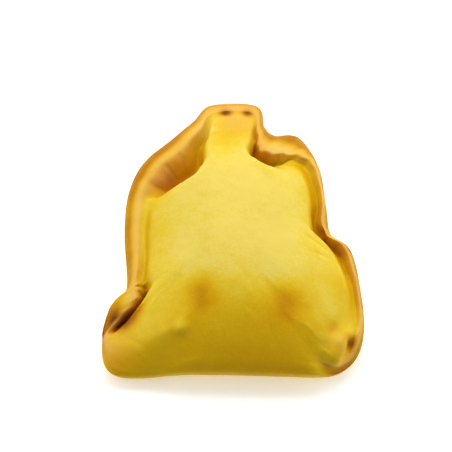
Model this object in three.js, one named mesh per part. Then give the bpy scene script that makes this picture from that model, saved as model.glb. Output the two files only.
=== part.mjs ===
// A baked empanada: one sheet of yellow dough folded over its filling and sealed.
// The fold is the smooth, rounded front. From one end of the fold, round the back, to the other
// runs the sealed edge, a rim of doubled dough that the baker has pinched inwards at five places.
// Millimetres, +Z up, the fold towards -Y. The origin is under the middle of the whole, on the table.
import * as THREE from "three";
import { mergeVertices } from "three/addons/utils/BufferGeometryUtils.js";

// The belly, a dome over the filling: its height along the spine and how far it reaches to the left
// and to the right of it, in rows from the fold to the back.
const bellyRows = [
  { height: 22, left: 37, right: 44 },
  { height: 25.6, left: 40, right: 50 },
  { height: 28.8, left: 39, right: 52 },
  { height: 30.5, left: 35.5, right: 49 },
  { height: 30.5, left: 34.5, right: 41 },
  { height: 30, left: 34, right: 38 },
  { height: 27, left: 28, right: 33 },
  { height: 20.5, left: 15, right: 19 },
  { height: 15, left: 10, right: 12 },
];
const belly = { front: -64, spacing: 16, power: 2.3 }; // the power of its curve from side to side
const foot = { height: 13, ease: 1.2 }; // its height at full reach, and how softly it levels out there

// The rounded fold, where it is fullest and where it runs out into a thin corner at either end:
// how far it reaches inwards before it is belly, the height at which it stands out furthest, and how
// round it is, where 2 is a quarter circle and less is straighter.
const fold = {
  full: { width: 29, bulge: 10, roundness: 1.9 },
  end: { width: 16, bulge: 6, roundness: 1.4 },
  left: [-14, -36], // from full to end
  right: [32, 52],
};

// The outer edge from above, counter-clockwise from the middle of the fold.
const edgePoints = [
  [0, -64.4], // the fold
  [24, -64.9],
  [39, -64.5],
  [51.8, -57.2], // its right end
  [57, -43.5],
  [56.5, -24], // the lower right lobe
  [53.6, -6.5],
  [45.3, 1],
  [43.6, 15], // the right lobe
  [41.2, 36],
  [32.4, 52.6],
  [22, 53.3],
  [17, 58],
  [13.6, 69.5], // the back lobe
  [-7.5, 70],
  [-16, 61],
  [-25.5, 51.5],
  [-38, 38.5],
  [-44, 22], // the left lobe
  [-44.8, 2],
  [-43, -24],
  [-49.6, -33.2],
  [-52.3, -50], // the left end of the fold
  [-47, -63],
  [-24, -64],
];
const foldEnds = { right: 2.2, left: 22.25, ease: 0.4 }; // counted in the points above

// The rim at places along the sealed edge, counted in the same points: the crest, the hollow behind
// it and the foot of the belly, each by its distance in from the edge, with heights for the first two.
const rim = [
  { at: 2.3, crestIn: 1.4, crest: 8.5, hollowIn: 3.8, hollow: 12, bellyIn: 17 },
  { at: 2.9, crestIn: 1.4, crest: 8.5, hollowIn: 4, hollow: 10.5, bellyIn: 17 },
  { at: 3.6, crestIn: 2.2, crest: 10.5, hollowIn: 4.8, hollow: 10, bellyIn: 14 },
  { at: 4.8, crestIn: 2.2, crest: 10.5, hollowIn: 4.6, hollow: 9.5, bellyIn: 7.5 },
  { at: 5.6, crestIn: 3.4, crest: 11.5, hollowIn: 6.4, hollow: 7.5, bellyIn: 10 },
  { at: 6, crestIn: 4.4, crest: 12, hollowIn: 8, hollow: 6.5, bellyIn: 12 },
  { at: 6.4, crestIn: 7, crest: 12.5, hollowIn: 11.5, hollow: 7, bellyIn: 15.5 },
  { at: 7, crestIn: 4, crest: 13, hollowIn: 7, hollow: 9.5, bellyIn: 9.5 },
  { at: 8.2, crestIn: 2.2, crest: 14, hollowIn: 4.4, hollow: 11, bellyIn: 8 },
  { at: 8.8, crestIn: 3.2, crest: 14, hollowIn: 6, hollow: 11.5, bellyIn: 9.5 },
  { at: 9.1, crestIn: 4.4, crest: 14, hollowIn: 7.5, hollow: 11.5, bellyIn: 11.5 },
  { at: 9.35, crestIn: 7.5, crest: 14.5, hollowIn: 11, hollow: 12.5, bellyIn: 16 },
  { at: 9.6, crestIn: 12.5, crest: 14.5, hollowIn: 17, hollow: 10, bellyIn: 22 },
  { at: 10, crestIn: 17.5, crest: 14.5, hollowIn: 23, hollow: 7, bellyIn: 29 },
  { at: 10.6, crestIn: 15.5, crest: 14.5, hollowIn: 21, hollow: 7, bellyIn: 28 },
  { at: 11.2, crestIn: 11.5, crest: 14.5, hollowIn: 16.5, hollow: 8.5, bellyIn: 21.5 },
  { at: 11.9, crestIn: 7.5, crest: 14, hollowIn: 11, hollow: 12, bellyIn: 15 },
  { at: 12.8, crestIn: 7, crest: 13.5, hollowIn: 9.5, hollow: 14, bellyIn: 13 },
  { at: 14, crestIn: 7, crest: 13.5, hollowIn: 9.5, hollow: 14, bellyIn: 13 },
  { at: 15.3, crestIn: 8.5, crest: 14, hollowIn: 14, hollow: 9.5, bellyIn: 18 },
  { at: 16.6, crestIn: 11, crest: 14, hollowIn: 22, hollow: 6, bellyIn: 27.5 },
  { at: 17.4, crestIn: 9.5, crest: 13, hollowIn: 23, hollow: 6.5, bellyIn: 29 },
  { at: 17.8, crestIn: 7.5, crest: 12.5, hollowIn: 18.5, hollow: 8, bellyIn: 24.5 },
  { at: 18.2, crestIn: 6.5, crest: 12, hollowIn: 10, hollow: 11.5, bellyIn: 14 },
  { at: 19.2, crestIn: 5.5, crest: 12, hollowIn: 8.5, hollow: 11.5, bellyIn: 12 },
  { at: 20, crestIn: 4.5, crest: 12.5, hollowIn: 8, hollow: 11, bellyIn: 11 },
  { at: 20.5, crestIn: 7.5, crest: 12.5, hollowIn: 11.5, hollow: 10.5, bellyIn: 14.5 },
  { at: 21, crestIn: 12, crest: 12.5, hollowIn: 16, hollow: 8.5, bellyIn: 19.5 },
  { at: 21.3, crestIn: 14.5, crest: 12.5, hollowIn: 18.5, hollow: 5, bellyIn: 22.5 },
  { at: 21.5, crestIn: 13.5, crest: 11.5, hollowIn: 17.5, hollow: 4.5, bellyIn: 22 },
  { at: 21.65, crestIn: 8.5, crest: 9.5, hollowIn: 13, hollow: 4.5, bellyIn: 18.5 },
  { at: 21.8, crestIn: 3, crest: 8, hollowIn: 7.5, hollow: 6, bellyIn: 14.5 },
  { at: 22.05, crestIn: 2, crest: 8.5, hollowIn: 5, hollow: 9.5, bellyIn: 13 },
];
const bellyRise = { corner: 0.55, elsewhere: 0.3 }; // share of the rise to the belly done halfway there
const outermost = { narrow: 4, wide: 6.5 }; // height at which a narrow and a wide rim stand out furthest

// Marks on the belly: where, how long and wide, turned how far, and how far they stand up or sink in.
const marks = [
  { x: -10.5, y: -38, long: 5.5, wide: 5, turn: 0, rise: -1 }, // dimples on the shoulder of the fold
  { x: 23, y: -40, long: 7, wide: 5, turn: 0, rise: -1 },
  { x: 21, y: 31.5, long: 7, wide: 3.8, turn: -8, rise: -7 }, // the pinch right of the back lobe
  { x: 45.8, y: -52.6, long: 8, wide: 2.8, turn: 64, rise: 3.2 }, // the tuck at the right end of the fold
  { x: 49, y: -53.5, long: 3.6, wide: 1.8, turn: 65, rise: -2.6 },
  { x: 45.5, y: -43.5, long: 5.5, wide: 2, turn: 70, rise: -1.6 },
];

const aroundCount = 150;
const spine = { x: 1, front: -14, back: 26 }; // each section of the dough runs in towards this line
const sectionReach = 0.78; // and stops at this share of the way
const lastPoint = 13; // of a section, counted from 0 on the base
const markedFrom = 5; // the point of a section past which the marks count, so that the base stays flat
const innerReserve = 5; // length kept on every section for the dome inside the foot of the belly
const settling = 3; // distance past the foot of the belly in which a section joins the dome

const smoothEdge = new THREE.CatmullRomCurve3(
  edgePoints.map(([x, y]) => new THREE.Vector3(x, y, 0)),
  true,
  "catmullrom",
  0.5,
);
const bellyCurve = new THREE.CatmullRomCurve3(
  bellyRows.map(({ height, left, right }) => new THREE.Vector3(height, left, right)),
  false,
  "catmullrom",
  0.5,
);
const mix = THREE.MathUtils.lerp;
const smoothstep = THREE.MathUtils.smoothstep;

// 1 on the fold, 0 on the sealed edge.
function foldShare(step) {
  const { right, left, ease } = foldEnds;
  const pastRight = smoothstep(step, right - ease, right + ease);
  const beforeLeft = 1 - smoothstep(step, left - ease, left + ease);
  return 1 - pastRight * beforeLeft;
}

// The sizes of the rim at any step along the edge.
function rimAt(step) {
  const after = rim.findIndex((place) => place.at >= step);
  if (after === 0) return rim[0];
  if (after < 0) return rim[rim.length - 1];
  const [a, b] = [rim[after - 1], rim[after]];
  const t = smoothstep(step, a.at, b.at);
  return Object.fromEntries(Object.keys(a).map((key) => [key, mix(a[key], b[key], t)]));
}

// The height of the belly over any point, which levels out at the foot beyond its reach.
function bellyTop(x, y) {
  const row = THREE.MathUtils.clamp((y - belly.front) / belly.spacing, 0, bellyRows.length - 1);
  const { x: height, y: left, z: right } = bellyCurve.getPoint(row / (bellyRows.length - 1));
  const reach = x < spine.x ? left : right;
  const share = 1 - (Math.abs(x - spine.x) / reach) ** belly.power;
  return foot.height + foot.ease * Math.log1p(Math.exp(((height - foot.height) * share) / foot.ease));
}

function markAt(x, y) {
  return marks.reduce((sum, mark) => {
    const turn = THREE.MathUtils.degToRad(mark.turn);
    const along = (x - mark.x) * Math.cos(turn) + (y - mark.y) * Math.sin(turn);
    const across = (y - mark.y) * Math.cos(turn) - (x - mark.x) * Math.sin(turn);
    return sum + mark.rise * Math.exp(-((along / mark.long) ** 2) - (across / mark.wide) ** 2);
  }, 0);
}

// The last points of a section, from the foot of the belly inwards.
function insetsPast(start, length) {
  const joined = start + settling;
  return [start, joined, mix(joined, length, 0.4), length];
}

// The section through the sealed edge, as [inset, height] from the table up and over to the belly.
function rimSection(step, length, topAt) {
  const r = rimAt(step);
  const w = r.crestIn;
  const g = r.hollowIn;
  const b = Math.min(r.bellyIn, length - innerReserve);
  const e = mix(outermost.narrow, outermost.wide, smoothstep(r.crestIn, 2, 7));
  const rise = mix(bellyRise.corner, bellyRise.elsewhere, smoothstep(step, 2.9, 4.8));
  return [
    [w + 6, 0],
    [0.6 * w + 2.5, 0.3],
    [0.2 * w + 0.6, 0.35 * e],
    [0, e],
    [0.12 * w + 0.2, mix(e, r.crest, 0.42)],
    [0.5 * w, mix(e, r.crest, 0.82)],
    [w, r.crest],
    [mix(w, g, 0.5), mix(r.crest, r.hollow, 0.65)],
    [g, r.hollow],
    [mix(g, b, 0.5), mix(r.hollow, topAt(b), rise)],
    ...insetsPast(b, length).map((inset) => [inset, topAt(inset)]),
  ];
}

// The section through the fold, with as many points.
function foldSection(x, length, topAt) {
  const [full, end] = x < spine.x ? fold.left : fold.right;
  const ending = smoothstep(Math.abs(x), Math.abs(full), Math.abs(end));
  const width = mix(fold.full.width, fold.end.width, ending);
  const bulge = mix(fold.full.bulge, fold.end.bulge, ending);
  const roundness = mix(fold.full.roundness, fold.end.roundness, ending);
  const shares = [0, 0.05, 0.13, 0.25, 0.4, 0.58, 0.78, 1];
  const arc = (share) => (1 - (1 - share) ** roundness) ** (1 / roundness);
  return [
    [12, 0],
    [0.65 * bulge, 0.08 * bulge],
    [0.19 * bulge, 0.4 * bulge],
    ...shares.map((share) => [share * width, mix(bulge, topAt(share * width), arc(share))]),
    ...insetsPast(width, length).slice(1).map((inset) => [inset, topAt(inset)]),
  ];
}

// Rows from the middle of the top (row 0) out and down to the middle of the base (the last row).
const domeRows = 8;
const sectionSteps = [
  13, 12, 11, 10.5, 10, 9.5, 9, 8.5, 8, 7.5, 7, 6.5, 6, 5.5, 5, 4.5, 4, 3.5, 3, 2.5, 2, 1, 0,
];
const rowCount = domeRows + sectionSteps.length;

// A place on the edge, and on the same edge with its pinches smoothed out.
function edgeAt(step) {
  const { x, y } = smoothEdge.getPoint(THREE.MathUtils.euclideanModulo(step / edgePoints.length, 1));
  return new THREE.Vector2(x, y);
}

function calmEdgeAt(step) {
  const around = [-1.8, -1.2, -0.6, 0, 0.6, 1.2, 1.8];
  const sum = around.reduce((total, offset) => total.add(edgeAt(step + offset)), new THREE.Vector2());
  return sum.divideScalar(around.length);
}

// Everything that is the same for all points of one section, which runs in from the edge.
function sectionAt(step) {
  const edge = edgeAt(step);
  const calm = calmEdgeAt(step);
  const target = new THREE.Vector2(spine.x, mix(spine.front, spine.back, smoothstep(calm.y, -64, 68)));
  const inner = calm.lerp(target, sectionReach);
  const length = edge.distanceTo(inner);
  const inwards = inner.sub(edge).normalize();
  const at = (inset) => edge.clone().addScaledVector(inwards, inset);
  const topAt = (inset) => bellyTop(at(inset).x, at(inset).y);
  const share = foldShare(step);
  const sealed = rimSection(step, length, topAt);
  const folded = foldSection(edge.x, length, topAt);
  const blend = (a, b) => new THREE.Vector2(mix(a[0], b[0], share), mix(a[1], b[1], share));
  return { at, curve: new THREE.SplineCurve(sealed.map((point, i) => blend(point, folded[i]))) };
}

const middle = new THREE.Vector2(spine.x, (spine.front + spine.back) / 2);

function pointAt(section, row) {
  if (row === rowCount) return new THREE.Vector3(middle.x, middle.y, 0);
  if (row >= domeRows) {
    const sectionStep = sectionSteps[row - domeRows];
    const { x: inset, y: height } = section.curve.getPoint(sectionStep / lastPoint);
    const { x, y } = section.at(inset);
    return new THREE.Vector3(x, y, height + (sectionStep > markedFrom ? markAt(x, y) : 0));
  }
  const inner = section.at(section.curve.points[lastPoint].x);
  const { x, y } = middle.clone().lerp(inner, row / domeRows);
  return new THREE.Vector3(x, y, bellyTop(x, y) + markAt(x, y));
}

// The net of rows and columns is a sphere's, and each of its points is put in its place.
function empanadaGeometry() {
  const sphere = new THREE.SphereGeometry(1, aroundCount, rowCount);
  const place = sphere.getAttribute("position");
  const uv = sphere.getAttribute("uv");
  const stepsPerColumn = edgePoints.length / aroundCount;
  const sections = Array.from({ length: aroundCount }, (_, i) => sectionAt(i * stepsPerColumn));
  for (let i = 0; i < place.count; i++) {
    const row = Math.round((1 - uv.getY(i)) * rowCount);
    const column = Math.round(uv.getX(i) * aroundCount) % aroundCount;
    const point = pointAt(sections[column], row);
    place.setXYZ(i, point.x, point.y, point.z);
  }
  sphere.deleteAttribute("normal");
  sphere.deleteAttribute("uv");
  const skin = mergeVertices(sphere, 1e-3);
  skin.computeBoundingBox();
  const { min, max } = skin.boundingBox;
  skin.translate(-(min.x + max.x) / 2, -(min.y + max.y) / 2, -min.z);
  skin.computeVertexNormals();
  return skin;
}

const bakedDough = new THREE.MeshStandardMaterial({ color: 0xe6bd45, roughness: 0.5, metalness: 0 });
const empanada = new THREE.Mesh(empanadaGeometry(), bakedDough);
empanada.name = "empanada";

const part = new THREE.Group();
part.add(empanada);

export default part;
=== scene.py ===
from math import acos, atan2, cos, exp, floor, log1p, pi, radians, sin, tau
from random import Random

import bmesh
import bpy
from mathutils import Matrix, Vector, kdtree, noise


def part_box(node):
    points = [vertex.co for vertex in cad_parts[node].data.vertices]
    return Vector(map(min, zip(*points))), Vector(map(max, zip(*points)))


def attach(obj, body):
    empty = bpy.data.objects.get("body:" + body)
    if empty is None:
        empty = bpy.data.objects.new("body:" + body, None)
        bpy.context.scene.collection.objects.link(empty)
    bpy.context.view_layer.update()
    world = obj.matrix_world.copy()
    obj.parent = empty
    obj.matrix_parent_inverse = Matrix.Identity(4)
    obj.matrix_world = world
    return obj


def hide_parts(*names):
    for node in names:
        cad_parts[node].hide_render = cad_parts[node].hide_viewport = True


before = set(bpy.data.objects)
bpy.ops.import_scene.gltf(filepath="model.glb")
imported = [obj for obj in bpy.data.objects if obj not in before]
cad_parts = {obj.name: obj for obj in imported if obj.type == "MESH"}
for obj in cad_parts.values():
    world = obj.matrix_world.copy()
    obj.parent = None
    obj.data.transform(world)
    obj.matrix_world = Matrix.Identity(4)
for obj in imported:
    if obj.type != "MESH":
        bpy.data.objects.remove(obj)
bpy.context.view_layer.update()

# A baked empanada, one sheet of dough folded over its filling. The fold is towards -Y, and the sealed
# edge runs from its right end round the back to its left end. Dough sizes are in millimetres.

millimetre = 0.001

# Steps count along the points of the edge. Places count along a section: 0 is under the crust, 3 where
# it stands out furthest, 6 the rim's crest, 8 the hollow behind it, 10 the foot of the belly, and 13
# where the dome over the middle begins. A band says where something begins, is full, thins and ends.

crust = {
    "columns": 576,                   # of the net, round the edge
    "domeRows": 34,                   # from the middle of the top out to where the sections begin
    "sectionRows": [5, 5, 5, 14, 8, 8, 9, 9, 9, 7, 6, 11, 12],  # from each place of a section to the next
    "baseRows": 10,

    "spineX": 1,                      # the sections run in towards this line
    "spineFront": (-64, -14),         # y of the edge, then of the place on the line that it runs to
    "spineBack": (68, 26),
    "calming": (-1.8, -1.2, -0.6, 0, 0.6, 1.2, 1.8),  # steps over which the edge is evened out for that
    "sectionReach": 0.78,             # share of the way to the line
    "reserve": 5,                     # length that every section keeps inside the foot of the belly
    "settling": 3, "settled": 0.4,    # from that foot to place 11, then the share of the rest to place 12

    "edge": [                         # the outline from above, counter-clockwise from the fold's middle
        (0, -64.4), (24, -64.9), (39, -64.5), (51.8, -57.2), (57, -43.5),
        (56.5, -24), (53.6, -6.5), (45.3, 1), (43.6, 15), (41.2, 36),
        (32.4, 52.6), (22, 53.3), (17, 58), (13.6, 69.5), (-7.5, 70),
        (-16, 61), (-25.5, 51.5), (-38, 38.5), (-44, 22), (-44.8, 2),
        (-43, -24), (-49.6, -33.2), (-52.3, -50), (-47, -63), (-24, -64),
    ],

    "belly": {
        "front": -64, "spacing": 16,  # rows from the fold to the back
        "rows": [                     # height, reach to the left, reach to the right
            (22, 37, 44),
            (25.6, 40, 50),
            (28.8, 39, 52),
            (30.5, 35.5, 49),
            (30.5, 34.5, 41),
            (30, 34, 38),
            (27, 28, 33),
            (20.5, 15, 19),
            (15, 10, 12),
        ],
        "power": 2.3,                 # of its curve from side to side
        "foot": 13, "ease": 1.2,      # height at full reach, and how softly it levels out there
    },

    "fold": {
        "full": (29, 10, 1.9),        # width, height of the bulge, roundness
        "end": (16, 6, 1.4),
        "left": (-14, -36),           # x from full to end
        "right": (32, 52),
        "firstStep": 22.25, "lastStep": 2.2,  # where it takes over from the sealed edge
        "stepEase": 0.4,
        "shares": [0, 0.05, 0.13, 0.25, 0.4, 0.58, 0.78, 1],  # of the width, at places 3 to 10
        "tableIn": 12,                # how far in it leaves the table
    },

    "rim": {
        "narrow": (2, 4),             # crest in, then the height at which it stands out furthest
        "wide": (7, 6.5),
        "cornerRise": (2.9, 0.55),    # step, then the share of the rise to the belly done by place 9
        "rise": (4.8, 0.3),
        "tableIn": 6,                 # how much further in than the crest it leaves the table
        "stations": [                 # step, then crest in, crest, hollow in, hollow, belly in
            (2.3, 1.4, 8.5, 3.8, 12, 17),
            (2.9, 1.4, 8.5, 4, 10.5, 17),
            (3.6, 2.2, 10.5, 4.8, 10, 14),
            (4.8, 2.2, 10.5, 4.6, 9.5, 7.5),
            (5.6, 3.4, 11.5, 6.4, 7.5, 10),
            (6, 4.4, 12, 8, 6.5, 12),
            (6.4, 7, 12.5, 11.5, 7, 15.5),
            (7, 4, 13, 7, 9.5, 9.5),
            (8.2, 2.2, 14, 4.4, 11, 8),
            (8.8, 3.2, 14, 6, 11.5, 9.5),
            (9.1, 4.4, 14, 7.5, 11.5, 11.5),
            (9.35, 7.5, 14.5, 11, 12.5, 16),
            (9.6, 12.5, 14.5, 17, 10, 22),
            (10, 17.5, 14.5, 23, 7, 29),
            (10.6, 15.5, 14.5, 21, 7, 28),
            (11.2, 11.5, 14.5, 16.5, 8.5, 21.5),
            (11.9, 7.5, 14, 11, 12, 15),
            (12.8, 7, 13.5, 9.5, 14, 13),
            (14, 7, 13.5, 9.5, 14, 13),
            (15.3, 8.5, 14, 14, 9.5, 18),
            (16.6, 11, 14, 22, 6, 27.5),
            (17.4, 9.5, 13, 23, 6.5, 29),
            (17.8, 7.5, 12.5, 18.5, 8, 24.5),
            (18.2, 6.5, 12, 10, 11.5, 14),
            (19.2, 5.5, 12, 8.5, 11.5, 12),
            (20, 4.5, 12.5, 8, 11, 11),
            (20.5, 7.5, 12.5, 11.5, 10.5, 14.5),
            (21, 12, 12.5, 16, 8.5, 19.5),
            (21.3, 14.5, 12.5, 18.5, 5, 22.5),
            (21.5, 13.5, 11.5, 17.5, 4.5, 22),
            (21.65, 8.5, 9.5, 13, 4.5, 18.5),
            (21.8, 3, 8, 7.5, 6, 14.5),
            (22.05, 2, 8.5, 5, 9.5, 13),
        ],
    },

    "markedFrom": 5,                  # the place past which the marks count
    "marks": [                        # x, y, long, wide, turned, rise
        (-10.5, -38, 5.5, 5, 0, -1),      # dimples on the shoulder of the fold
        (23, -40, 7, 5, 0, -1),
        (21, 31.5, 7, 3.8, -8, -7),       # the pinch right of the back lobe
        (45.8, -52.6, 8, 2.8, 64, 3.2),   # the tuck at the right end of the fold
        (49, -53.5, 3.6, 1.8, 65, -2.6),
        (45.5, -43.5, 5.5, 2, 70, -1.6),
    ],

    "softening": {                    # which places are smoothed, and how often
        "shoulderFrom": 5, "shoulderPasses": 90,
        "shoulderSealed": 0.9,        # the shoulder's sections are sealed less than this
        "pinchTops": (8.6, 12.2), "pinchPasses": 110,
        "topFrom": 10.5, "topPasses": 16,
        "strength": 0.5,              # of one pass
    },

    "unevenness": {                   # left by hands and the oven, along the surface's normal
        "bellyFrom": (10.2, 12.6),
        "bellyFacingUp": (0.5, 0.95),
        "lumps": 0.35, "lumpSize": 17,                  # the filling showing through the belly
        "dents": 0.12, "dentSize": 5, "dentShift": (7, 3, 1),
        "wave": 0.3, "waveSize": 8, "waveShift": (2, 9, 4),     # along the rim's crest
        "waveBand": (3.6, 5, 7.5, 9.5),
        "grain": 0.035, "grainSize": 1.7,
        "seam": 0.75, "seamPlace": 3.6, "seamWidth": 0.13,      # the joint line between the two layers
        "seamWander": 0.25, "seamWanderSize": 14,
        "seamFaintest": 0.6, "seamFadeSize": 9,
        "lip": 0.25, "lipAbove": 0.45, "lipWidth": 0.3,         # the upper layer stands out above it
        "footHeights": (0.1, 2.5),    # it begins between these
        "blisters": 90, "blisterSeed": 11,
        "blisterX": (-52, 54), "blisterY": (-62, 68),
        "blisterSize": (0.7, 1.9), "blisterRise": (0.08, 0.22),
        "blisterReach": 2,            # in sizes
        "blisterMiss": 3,             # one drawn further off the dough than this is left out
        "creasedFrom": 6,
        "creases": [                      # x, y, long, wide, turned, rise
            (-21, 39, 9, 1.1, -62, -0.35),    # the upper left pinch
            (-26, 33, 8, 0.9, -40, -0.3),
            (-30, 24, 6, 0.9, -15, -0.25),
            (22, 38, 8, 1.0, 66, -0.35),      # right of the back lobe
            (27, 33, 6, 0.9, 40, -0.25),
            (38, -9, 7, 1.0, -28, -0.3),      # the right notch
            (40, -15, 6, 0.9, -8, -0.25),
            (-34, -28, 7, 1.0, 24, -0.3),     # the left corner
            (-31, -35, 6, 0.9, 48, -0.22),
            (-27, -49, 6, 1.6, -60, 0.3),
            (-38, -52, 5, 1.2, -35, -0.25),
            (-36, -27.5, 3.2, 2.2, -50, 0.9),
            (-19, -49.5, 2.4, 2.2, 0, 1.3),   # the low bump on the belly
            (16.5, 33.5, 4, 3, -30, -4),      # right of the back lobe: deeper start, fuller rim, lower lip
            (22.5, 41, 8, 2.4, -12, 1.3),
            (22, 33, 5.5, 3, -8, -1.8),
            (40.8, -0.6, 4, 1.4, -58, -2.5),  # the bottom of the right notch
            (48, -52.2, 8, 1.5, 64, 1.6),     # the tuck
            (49.4, -51.2, 3.2, 1.5, 62, -1.3),
            (52.8, -47.3, 3, 1.6, 62, 0.9),
            (42.5, -59.5, 5, 2.6, 62, 1.3),
            (43.4, -47.5, 3.5, 2, 64, -1),
        ],
    },

    "bakingAndShade": {                       # how brown, from 0, pale gold, to 1, dark brown, with painted shade among it
        "lowerShade": 0.08,                # painted shade: the belly browner low down, less and less between these heights, so its top reads paler as if lit
        "lowerShadeFades": (14, 29),
        "edge": 0.45, "edgeBand": (1.8, 3, 4.5, 5.8),           # the rim's thin outer face
        "pinchedEdge": 0.08,          # and more beside a pinch
        "crest": 0.08, "crestBand": (3.8, 5.4, 6.4, 8.6),
        "hollow": 0.22, "hollowShadeBand": (6.4, 7.8, 8.6, 9.6),     # painted shade deepening the pinches, partly browning where the wash gathers
        "pinchWallShade": 0.20, "pinchWallShadeBand": (8.2, 9, 9.4, 10.2),
        "fullDepth": 8,               # a pinch this deep gets the most of that painted shade and brown
        "grooveShade": 0.15, "groovePlace": 8.9, "grooveWidth": 0.7,  # painted shade: a dark line along the groove behind a flat stretch of rim
        "grooveStretches": [(6.6, 7.4, 9, 9.6), (18, 19.2, 20, 20.5)],
        "grooveBreaks": 0.7, "grooveBreakSize": 9,
        "foldWallShade": 0.18,             # painted shade on the fold's lower front, which faces away from the lamps, partly a deeper bake
        "foldWallX": (-38, -14, 30, 44), "foldWallY": (-50, -22),
        "foldWallLow": (0, 0.3), "foldWallHigh": (9, 1),        # height, then share of that painted shade and brown
        "foot": 0.16, "footHeights": (0.5, 5),                  # where the crust meets the tray
        "base": 0.6,
        "spots": [                    # x, y, size, amount
            (-0.9, 62, 3, 0.85),      # the back lobe
            (9, 62, 2.6, 0.75),
            (4, 54, 9, 0.19),
            (0, 43, 9, 0.1),
            (23.5, -40.5, 7.5, 0.34),  # the dimples, darker: partly toasted, partly painted shade
            (-10.5, -36.5, 6.5, 0.38),
            (-25.5, 29.5, 5, 0.32),   # painted shade in the upper left pinch's hollow; the last of these is painted lighter where it fell too dark
            (-20, 33, 5.5, 0.2),
            (-26, 27.3, 4, 0.2),
            (-31, 26, 4.5, 0.35),
            (-11.2, 51.7, 5, -0.2),
            (17, 33.5, 4, 0.1),       # painted shade in the pocket right of the back lobe, and painted light on its crest
            (22.5, 33, 3.2, 0.2),
            (22, 39.5, 6, -0.25),
            (49.5, -6.5, 3.4, 0.25),  # painted shade in the right notch, one spot painted lighter, and the lobe a little browner
            (41, -1, 2.6, 0.3),
            (46.4, -1.5, 2.5, -0.3),
            (55.5, -29, 9, 0.14),
            (50.2, -50.8, 2.4, 0.5),  # the right corner: painted shade in its pit, and browner below the tuck
            (44.5, -55, 4, 0.13),
            (43.5, -60, 3.5, 0.05),
            (-19, -49, 2.4, -0.1),    # painted highlight: the low bump's top paler
            (43.4, -47.5, 3, 0.25),   # painted shade in the dent left of the tuck
            (-38.5, -38.5, 3, 0.4),   # the left corner: painted shade in its notch, partly browning, one spot painted lighter, and browner towards the fold
            (-44.5, -43, 4, 0.5),
            (-46.5, -39.5, 2.8, 0.3),
            (-44.5, -31.5, 3.5, -0.25),
            (-41.5, -42, 3.6, 0.5),
            (-48, -57, 7, 0.2),
            (-33, -60, 10, 0.1),
            (-42, -62, 7, 0.12),
            (-37, -33, 2.5, 0.15),
            (-43, 12, 6, -0.1),       # the paler rim on the left
            (-43, -3, 6, -0.1),
        ],
        "flush": 0.55, "flushBand": (4.8, 5.8, 6.2, 7.3),       # the orange tone of the rim's crest
        "flushMost": 0.6,
        "flushSpots": [
            (4, 56, 10, 0.45),        # the back lobe, but not its brown spots
            (-0.9, 62, 3, -0.35),
            (9, 62, 2.6, -0.35),
            (46, -52, 5, 0.3),        # the right corner
            (-48, -52, 8, 0.25),      # the left corner
        ],
    },
}


def mix(a, b, t):
    return a + (b - a) * t


def smoothstep(x, low, high):
    t = min(max((x - low) / (high - low), 0), 1)
    return t * t * (3 - 2 * t)


# A value that goes softly from one (x, value) to another.
def between(x, low, high):
    return mix(low[1], high[1], smoothstep(x, low[0], high[0]))


def band(x, begin, full, thin, end):
    return smoothstep(x, begin, full) * (1 - smoothstep(x, thin, end))


def bump(x, middle, width):
    return exp(-(((x - middle) / width) ** 2))


# A smooth curve through points, one unit of place from each point to the next.
def curveAt(points, place, closed=False):
    count = len(points)
    i = floor(place)
    if not closed:
        i = min(max(i, 0), count - 2)
    t = place - i
    b, c = points[i % count], points[(i + 1) % count]
    a = points[(i - 1) % count] if closed or i > 0 else b * 2 - c
    d = points[(i + 2) % count] if closed or i + 2 < count else c * 2 - b
    return b + ((c - a) + (a * 2 - b * 5 + c * 4 - d + ((b - c) * 3 + d - a) * t) * t) * (t / 2)


edgeCurve = [Vector(point) for point in crust["edge"]]
bellyCurve = [Vector(row) for row in crust["belly"]["rows"]]
topMiddle = Vector((crust["spineX"], (crust["spineFront"][1] + crust["spineBack"][1]) / 2))
lastPlace = len(crust["sectionRows"])


# 1 on the fold, 0 on the sealed edge.
def foldShare(step):
    fold = crust["fold"]
    ease = fold["stepEase"]
    pastRight = smoothstep(step, fold["lastStep"] - ease, fold["lastStep"] + ease)
    beforeLeft = 1 - smoothstep(step, fold["firstStep"] - ease, fold["firstStep"] + ease)
    return 1 - pastRight * beforeLeft


def rimAt(step):
    stations = crust["rim"]["stations"]
    if step <= stations[0][0]:
        return stations[0][1:]
    for before, after in zip(stations, stations[1:]):
        if step <= after[0]:
            t = smoothstep(step, before[0], after[0])
            return tuple(mix(a, b, t) for a, b in zip(before[1:], after[1:]))
    return stations[-1][1:]


def bellyTop(x, y):
    belly = crust["belly"]
    row = min(max((y - belly["front"]) / belly["spacing"], 0), len(bellyCurve) - 1)
    height, left, right = curveAt(bellyCurve, row)
    reach = left if x < crust["spineX"] else right
    share = 1 - (abs(x - crust["spineX"]) / reach) ** belly["power"]
    return belly["foot"] + belly["ease"] * log1p(exp((height - belly["foot"]) * share / belly["ease"]))


# How far long soft marks lift the dough at a place.
def markRise(markList, x, y):
    total = 0
    for markX, markY, long, wide, turned, rise in markList:
        c, s = cos(radians(turned)), sin(radians(turned))
        along = (x - markX) * c + (y - markY) * s
        across = (y - markY) * c - (x - markX) * s
        total += rise * exp(-((along / long) ** 2) - (across / wide) ** 2)
    return total


# The last places of a section, from the foot of the belly inwards.
def insetsPast(start, length):
    joined = start + crust["settling"]
    return [start, joined, mix(joined, length, crust["settled"]), length]


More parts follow.
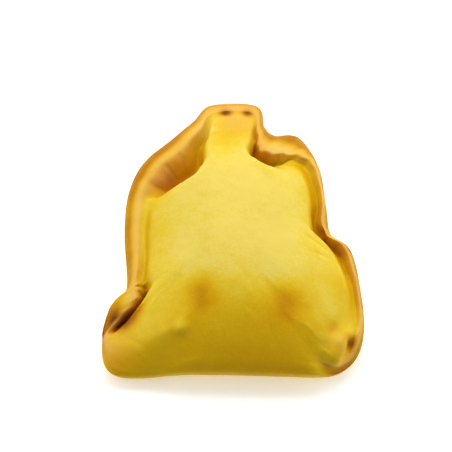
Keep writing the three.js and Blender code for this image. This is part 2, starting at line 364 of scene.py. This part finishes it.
def rimSection(step, length, topAt):
    rim = crust["rim"]
    crestIn, crest, hollowIn, hollow, bellyIn = rimAt(step)
    bellyIn = min(bellyIn, length - crust["reserve"])
    edgeHeight = between(crestIn, rim["narrow"], rim["wide"])
    rise = between(step, rim["cornerRise"], rim["rise"])
    return [
        (crestIn + rim["tableIn"], 0),
        (0.6 * crestIn + 2.5, 0.3),                             # barely off the table
        (0.2 * crestIn + 0.6, 0.35 * edgeHeight),
        (0, edgeHeight),                                        # furthest out
        (0.12 * crestIn + 0.2, mix(edgeHeight, crest, 0.42)),   # the rounding of the rim's face
        (0.5 * crestIn, mix(edgeHeight, crest, 0.82)),
        (crestIn, crest),
        (mix(crestIn, hollowIn, 0.5), mix(crest, hollow, 0.65)),
        (hollowIn, hollow),
        (mix(hollowIn, bellyIn, 0.5), mix(hollow, topAt(bellyIn), rise)),
        *[(inset, topAt(inset)) for inset in insetsPast(bellyIn, length)],
    ]


def foldSection(x, length, topAt):
    fold = crust["fold"]
    begin, stop = fold["left"] if x < crust["spineX"] else fold["right"]
    ending = smoothstep(abs(x), abs(begin), abs(stop))
    width, bulge, roundness = (mix(a, b, ending) for a, b in zip(fold["full"], fold["end"]))
    arcs = [(share, (1 - (1 - share) ** roundness) ** (1 / roundness)) for share in fold["shares"]]
    return [
        (fold["tableIn"], 0),
        (0.65 * bulge, 0.08 * bulge),                           # the rounding under the bulge
        (0.19 * bulge, 0.4 * bulge),
        *[(share * width, mix(bulge, topAt(share * width), arc)) for share, arc in arcs],
        *[(inset, topAt(inset)) for inset in insetsPast(width, length)[1:]],
    ]


# What all the points of one section share: its edge, its way in and its curve of (inset, height).
def sectionAt(step):
    edge = curveAt(edgeCurve, step, closed=True)
    offsets = crust["calming"]
    calm = sum((curveAt(edgeCurve, step + offset, closed=True) for offset in offsets), Vector((0, 0)))
    calm /= len(offsets)
    spineY = between(calm.y, crust["spineFront"], crust["spineBack"])
    inner = calm.lerp(Vector((crust["spineX"], spineY)), crust["sectionReach"])
    length = (inner - edge).length
    inwards = (inner - edge).normalized()

    def topAt(inset):
        return bellyTop(*(edge + inwards * inset))

    share = foldShare(step)
    sealed = rimSection(step, length, topAt)
    folded = foldSection(edge.x, length, topAt)
    points = [Vector(a).lerp(Vector(b), share) for a, b in zip(sealed, folded)]
    return {"edge": edge, "inwards": inwards, "points": points, "step": step, "sealed": 1 - share}


# The rows of the net from the middle of the top to the middle of the base, as (zone, how far).
def netRows():
    rows = [("dome", i / crust["domeRows"]) for i in range(crust["domeRows"])]
    for place in range(lastPlace, 0, -1):
        count = crust["sectionRows"][place - 1]
        rows += [("section", place - i / count) for i in range(count)]
    rows += [("base", i / crust["baseRows"]) for i in range(crust["baseRows"] + 1)]
    return rows


# The place that a row of the net counts as.
def placeOf(zone, how):
    return {"dome": lastPlace, "section": how, "base": 0}[zone]


def skinPoint(section, zone, how):
    if zone == "base":
        start = section["edge"] + section["inwards"] * section["points"][0].x
        return Vector((*start.lerp(topMiddle, how), 0))
    if zone == "dome":
        inner = section["edge"] + section["inwards"] * section["points"][-1].x
        x, y = topMiddle.lerp(inner, how)
        return Vector((x, y, bellyTop(x, y) + markRise(crust["marks"], x, y)))
    inset, height = curveAt(section["points"], how)
    x, y = section["edge"] + section["inwards"] * inset
    if how > crust["markedFrom"]:
        height += markRise(crust["marks"], x, y)
    return Vector((x, y, height))


def unevenAt(point, normal, place, sealed):
    u = crust["unevenness"]
    belly = smoothstep(place, *u["bellyFrom"]) * smoothstep(normal.z, *u["bellyFacingUp"])
    rise = u["lumps"] * belly * noise.noise(point / u["lumpSize"])
    rise += u["dents"] * belly * noise.noise(point / u["dentSize"] + Vector(u["dentShift"]))
    crest = sealed * band(place, *u["waveBand"])
    rise += u["wave"] * crest * noise.noise(point / u["waveSize"] + Vector(u["waveShift"]))
    rise += u["grain"] * noise.noise(point / u["grainSize"])
    wander = u["seamWander"] * noise.noise(Vector((point.x, point.y, 0)) / u["seamWanderSize"])
    seamPlace = u["seamPlace"] + wander
    strength = mix(u["seamFaintest"], 1, 0.5 + 0.5 * noise.noise(point / u["seamFadeSize"]))
    strength *= sealed
    rise -= u["seam"] * strength * bump(place, seamPlace, u["seamWidth"])
    rise += u["lip"] * strength * bump(place, seamPlace + u["lipAbove"], u["lipWidth"])
    if place > u["creasedFrom"]:
        rise += markRise(u["creases"], point.x, point.y)
    return rise * smoothstep(point.z, *u["footHeights"])


# How much a list of round spots adds at a point.
def spotsAt(spots, point):
    return sum(add * exp(-((point.x - x) ** 2 + (point.y - y) ** 2) / size**2) for x, y, size, add in spots)


# How brown the dough has baked, from 0 to 1, with painted shade in the pinches, grooves, dimples and on the
# fold's front.
def bakeAndShadeAt(point, step, zone, how, sealed):
    b = crust["bakingAndShade"]
    if zone == "base":
        return b["base"]
    place = placeOf(zone, how)
    _, crestHeight, _, hollowHeight, _ = rimAt(step)
    depth = min(max((crestHeight - hollowHeight) / b["fullDepth"], 0), 1)
    # painted shade: browner low on the belly, paler towards its top
    amount = b["lowerShade"] * (1 - smoothstep(point.z, *b["lowerShadeFades"]))
    amount += sealed * (b["edge"] + b["pinchedEdge"] * depth) * band(place, *b["edgeBand"])
    amount += sealed * b["crest"] * band(place, *b["crestBand"])
    # painted shade in each pinch's hollow and on the wall behind it, more for deeper pinches
    amount += sealed * b["hollow"] * depth * band(place, *b["hollowShadeBand"])
    amount += sealed * b["pinchWallShade"] * depth * band(place, *b["pinchWallShadeBand"])
    # painted shade: a dark line drawn along the shallow groove
    grooveShade = b["grooveShade"] * bump(place, b["groovePlace"], b["grooveWidth"])
    grooveShade *= 1 + b["grooveBreaks"] * noise.noise(point / b["grooveBreakSize"])
    amount += grooveShade * sum(band(step, *stretch) for stretch in b["grooveStretches"])
    # painted shade on the fold's front, partly a deeper bake
    shadedFront = band(point.x, *b["foldWallX"]) * (1 - smoothstep(point.y, *b["foldWallY"]))
    amount += b["foldWallShade"] * shadedFront * between(point.z, b["foldWallLow"], b["foldWallHigh"])
    amount = max(amount, b["foot"] * (1 - smoothstep(point.z, *b["footHeights"])))
    return min(max(amount + spotsAt(b["spots"], point), 0), 1)


# How orange the dough has baked, from 0 to 1.
def flushAt(point, zone, how, sealed):
    b = crust["bakingAndShade"]
    if zone != "section":
        return 0
    amount = b["flush"] * sealed * band(how, *b["flushBand"]) + spotsAt(b["flushSpots"], point)
    return min(max(amount, 0), b["flushMost"])


def buildCrust(material):
    rows = netRows()
    lastRow = len(rows) - 1
    bm = bmesh.new()
    bmesh.ops.create_uvsphere(bm, u_segments=crust["columns"], v_segments=lastRow, radius=1)
    bakeAndShadeLayer = bm.verts.layers.float.new("bakeAndShade")
    flushLayer = bm.verts.layers.float.new("flush")
    sections = {}
    homes = []                        # section, zone and how far, for each vertex of the net
    for vert in bm.verts:
        column = round(atan2(vert.co.y, vert.co.x) / tau * crust["columns"]) % crust["columns"]
        if column not in sections:
            sections[column] = sectionAt(column / crust["columns"] * len(edgeCurve))
        row = round(acos(min(max(vert.co.z, -1), 1)) / pi * lastRow)
        homes.append((sections[column], *rows[row]))
    for vert, (section, zone, how) in zip(bm.verts, homes):
        vert.co = skinPoint(section, zone, how)
        vert[bakeAndShadeLayer] = bakeAndShadeAt(vert.co, section["step"], zone, how, section["sealed"])
        vert[flushLayer] = flushAt(vert.co, zone, how, section["sealed"])
    soften(bm, homes)
    bm.normal_update()
    for vert, (section, zone, how) in zip(bm.verts, homes):
        vert.co += vert.normal * unevenAt(vert.co, vert.normal, placeOf(zone, how), section["sealed"])
    raiseBlisters(bm)
    placeCrust(bm)
    mesh = bpy.data.meshes.new("crust")
    for face in bm.faces:
        face.smooth = True
    bm.to_mesh(mesh)
    bm.free()
    piece = bpy.data.objects.new("crust", mesh)
    bpy.context.collection.objects.link(piece)
    mesh.materials.append(material)
    return piece


# The fold and the pinches run into the belly without a hard line.
def soften(bm, homes):
    s = crust["softening"]
    low, high = s["pinchTops"]
    shoulder, pinchTops, top = [], [], []
    for vert, (section, zone, how) in zip(bm.verts, homes):
        inSection = zone == "section"
        if inSection and section["sealed"] < s["shoulderSealed"] and how > s["shoulderFrom"]:
            shoulder.append(vert)
        elif inSection and low < how < high:
            pinchTops.append(vert)
        if zone == "dome" or inSection and how > s["topFrom"]:
            top.append(vert)
    for verts, passes in ((shoulder, "shoulderPasses"), (pinchTops, "pinchPasses"), (top, "topPasses")):
        for _ in range(s[passes]):
            bmesh.ops.smooth_vert(
                bm, verts=verts, factor=s["strength"],
                use_axis_x=True, use_axis_y=True, use_axis_z=True,
            )


# Little bubbles that the oven raised on the upper side.
def raiseBlisters(bm):
    u = crust["unevenness"]
    draw = Random(u["blisterSeed"])
    bm.verts.ensure_lookup_table()
    bm.normal_update()
    tree = kdtree.KDTree(len(bm.verts))
    for vert in bm.verts:
        tree.insert(vert.co, vert.index)
    tree.balance()
    for _ in range(u["blisters"]):
        x, y = draw.uniform(*u["blisterX"]), draw.uniform(*u["blisterY"])
        size, rise = draw.uniform(*u["blisterSize"]), draw.uniform(*u["blisterRise"])
        middle, _, far = tree.find(Vector((x, y, bellyTop(x, y))))
        if far > u["blisterMiss"]:
            continue
        for _, index, distance in tree.find_range(middle, size * u["blisterReach"]):
            vert = bm.verts[index]
            vert.co = vert.co + vert.normal * (rise * exp(-((distance / size) ** 2)))


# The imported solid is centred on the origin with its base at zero, and the crust goes where it is.
def placeCrust(bm):
    low = Vector(min(vert.co[i] for vert in bm.verts) for i in range(3))
    high = Vector(max(vert.co[i] for vert in bm.verts) for i in range(3))
    cadLow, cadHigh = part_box("empanada")
    middle = (low + high) / 2
    cadMiddle = (Vector(cadLow) + Vector(cadHigh)) / 2
    move = Vector((cadMiddle.x / millimetre - middle.x, cadMiddle.y / millimetre - middle.y, -low.z))
    bmesh.ops.translate(bm, vec=move, verts=bm.verts)
    bmesh.ops.scale(bm, vec=(millimetre,) * 3, verts=bm.verts)


dough = {
    "colours": [                             # how brown, then the colour
        # The palest colour, where the top is, is partly the dough's pale gold, partly painted sheen
        # standing in for the wash's shine.
        (0.0, (0.85, 0.69, 0.17)),
        (0.08, (0.82, 0.62, 0.07)),
        (0.18, (0.78, 0.54, 0.025)),
        (0.34, (0.73, 0.44, 0.012)),
        (0.62, (0.54, 0.25, 0.008)),
        (1.0, (0.25, 0.09, 0.006)),
    ],
    "flush": (0.90, 0.54, 0.20),             # the rim's orange tone
    "patches": 0.16, "patchScale": 55,       # how far each makes the brown uneven, and its scale per metre
    "mottle": 0.10, "mottleScale": 190,
    "specks": 0.10, "speckScale": 900, "speckDetail": 2,
    "roughness": (0.36, 0.52), "roughnessFrom": (0.3, 0.7),  # it follows the mottle
    "specular": 0.12,
    "wash": 0.05, "washRoughness": 0.28,     # the egg wash
    "wrinkles": (320, 4, 0.55), "wrinkleRise": 0.00016,      # scale, detail and roughness of the noise
    "grain": (1300, 3, 0.6), "grainRise": 0.00010,
}


def bakedDoughAndShade():
    material = bpy.data.materials.new("bakedDoughAndShade")
    material.use_nodes = True
    nodes, links = material.node_tree.nodes, material.node_tree.links
    shader = nodes["Principled BSDF"]
    place = nodes.new("ShaderNodeTexCoord").outputs["Object"]

    def attribute(name):
        node = nodes.new("ShaderNodeAttribute")
        node.attribute_name = name
        return node.outputs["Fac"]

    def cloud(scale, detail=3, roughness=0.5):
        texture = nodes.new("ShaderNodeTexNoise")
        texture.inputs["Scale"].default_value = scale
        texture.inputs["Detail"].default_value = detail
        texture.inputs["Roughness"].default_value = roughness
        links.new(place, texture.inputs["Vector"])
        return texture.outputs["Fac"]

    def maths(operation, first, second):
        node = nodes.new("ShaderNodeMath")
        node.operation = operation
        for socket, value in zip(node.inputs, (first, second)):
            if isinstance(value, (int, float)):
                socket.default_value = value
            else:
                links.new(value, socket)
        return node.outputs[0]

    def uneven(source, texture, amount):
        return maths("ADD", source, maths("MULTIPLY", maths("SUBTRACT", texture, 0.5), amount))

    def roughened(texture, rise, normal=None):
        node = nodes.new("ShaderNodeBump")
        node.inputs["Distance"].default_value = rise
        links.new(texture, node.inputs["Height"])
        if normal:
            links.new(normal, node.inputs["Normal"])
        return node.outputs["Normal"]

    # The brown carried here includes painted shade as well as the bake.
    mottle = cloud(dough["mottleScale"])
    brownAndShade = uneven(attribute("bakeAndShade"), cloud(dough["patchScale"]), dough["patches"])
    brownAndShade = uneven(brownAndShade, mottle, dough["mottle"])
    brownAndShade = uneven(brownAndShade, cloud(dough["speckScale"], dough["speckDetail"]), dough["specks"])
    ramp = nodes.new("ShaderNodeValToRGB")
    stops = ramp.color_ramp.elements
    while len(stops) < len(dough["colours"]):
        stops.new(0.5)
    for stop, (position, colour) in zip(stops, dough["colours"]):
        stop.position = position
        stop.color = (*colour, 1)
    links.new(brownAndShade, ramp.inputs["Fac"])
    tinted = nodes.new("ShaderNodeMix")
    tinted.data_type = "RGBA"
    links.new(attribute("flush"), tinted.inputs["Factor"])
    links.new(ramp.outputs["Color"], tinted.inputs["A"])
    tinted.inputs["B"].default_value = (*dough["flush"], 1)
    links.new(tinted.outputs["Result"], shader.inputs["Base Color"])

    rough = nodes.new("ShaderNodeMapRange")
    rough.inputs["From Min"].default_value, rough.inputs["From Max"].default_value = dough["roughnessFrom"]
    rough.inputs["To Min"].default_value, rough.inputs["To Max"].default_value = dough["roughness"]
    links.new(mottle, rough.inputs["Value"])
    links.new(rough.outputs["Result"], shader.inputs["Roughness"])
    shader.inputs["Specular IOR Level"].default_value = dough["specular"]
    shader.inputs["Coat Weight"].default_value = dough["wash"]
    shader.inputs["Coat Roughness"].default_value = dough["washRoughness"]

    wrinkled = roughened(cloud(*dough["wrinkles"]), dough["wrinkleRise"])
    grained = roughened(cloud(*dough["grain"]), dough["grainRise"], wrinkled)
    links.new(grained, shader.inputs["Normal"])
    return material


studio = {                            # in metres and degrees
    "target": (-0.0032, -0.001, 0.015),
    "distance": 0.539,                # of the camera from the target
    "elevation": 60,
    "lens": 100, "sensor": 36,        # in millimetres
    "floorReach": 2,
    "floor": (0.94, 0.94, 0.94), "floorRoughness": 0.8,
    "floorGlow": 0.26,                # keeps it white in the crust's shade
    "look": "High Contrast",
    "sky": 0.16,
    "lampSize": 0.5,
    "lamps": [                        # place, watts
        ((0, 0.5, 0.7), 1.4),
        ((-0.4, 0.4, 0.6), 1.1),
        ((0, 0.7, 0.35), 0.3),
        ((0.4, 0.4, 0.6), 1.35),
        ((0.7, 0, 0.4), 1.25),
        ((-0.7, 0, 0.4), 1.25),
    ],
}


def buildFloor():
    bm = bmesh.new()
    bmesh.ops.create_grid(bm, x_segments=1, y_segments=1, size=studio["floorReach"])
    mesh = bpy.data.meshes.new("floor")
    bm.to_mesh(mesh)
    bm.free()
    floorPiece = bpy.data.objects.new("floor", mesh)
    bpy.context.collection.objects.link(floorPiece)
    paint = bpy.data.materials.new("paleFloor")
    paint.use_nodes = True
    shader = paint.node_tree.nodes["Principled BSDF"]
    shader.inputs["Base Color"].default_value = (*studio["floor"], 1)
    shader.inputs["Roughness"].default_value = studio["floorRoughness"]
    shader.inputs["Emission Color"].default_value = (1, 1, 1, 1)
    shader.inputs["Emission Strength"].default_value = studio["floorGlow"]
    mesh.materials.append(paint)


def buildLights():
    world = bpy.data.worlds.new("studio")
    world.use_nodes = True
    sky = world.node_tree.nodes["Background"]
    sky.inputs["Color"].default_value = (1, 1, 1, 1)
    sky.inputs["Strength"].default_value = studio["sky"]
    bpy.context.scene.world = world
    for number, (place, watts) in enumerate(studio["lamps"]):
        lamp = bpy.data.lights.new(f"softbox{number}", "AREA")
        lamp.size = studio["lampSize"]
        lamp.energy = watts
        holder = bpy.data.objects.new(lamp.name, lamp)
        holder.location = place
        holder.rotation_euler = (-Vector(place)).to_track_quat("-Z", "Y").to_euler()
        bpy.context.collection.objects.link(holder)


def buildCamera():
    data = bpy.data.cameras.new("camera")
    data.lens = studio["lens"]
    data.sensor_width = studio["sensor"]
    camera = bpy.data.objects.new("camera", data)
    up = radians(studio["elevation"])
    back = Vector((0, -cos(up), sin(up)))
    camera.location = Vector(studio["target"]) + back * studio["distance"]
    camera.rotation_euler = (-back).to_track_quat("-Z", "Y").to_euler()
    bpy.context.collection.objects.link(camera)
    bpy.context.scene.camera = camera


bpy.context.scene.view_settings.view_transform = "Standard"
bpy.context.scene.view_settings.look = studio["look"]
buildCamera()
buildLights()
buildFloor()
print("studio ready")

crustPiece = buildCrust(bakedDoughAndShade())
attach(crustPiece, "root")
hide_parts("empanada")
print("crust shaped:", len(crustPiece.data.polygons), "faces")
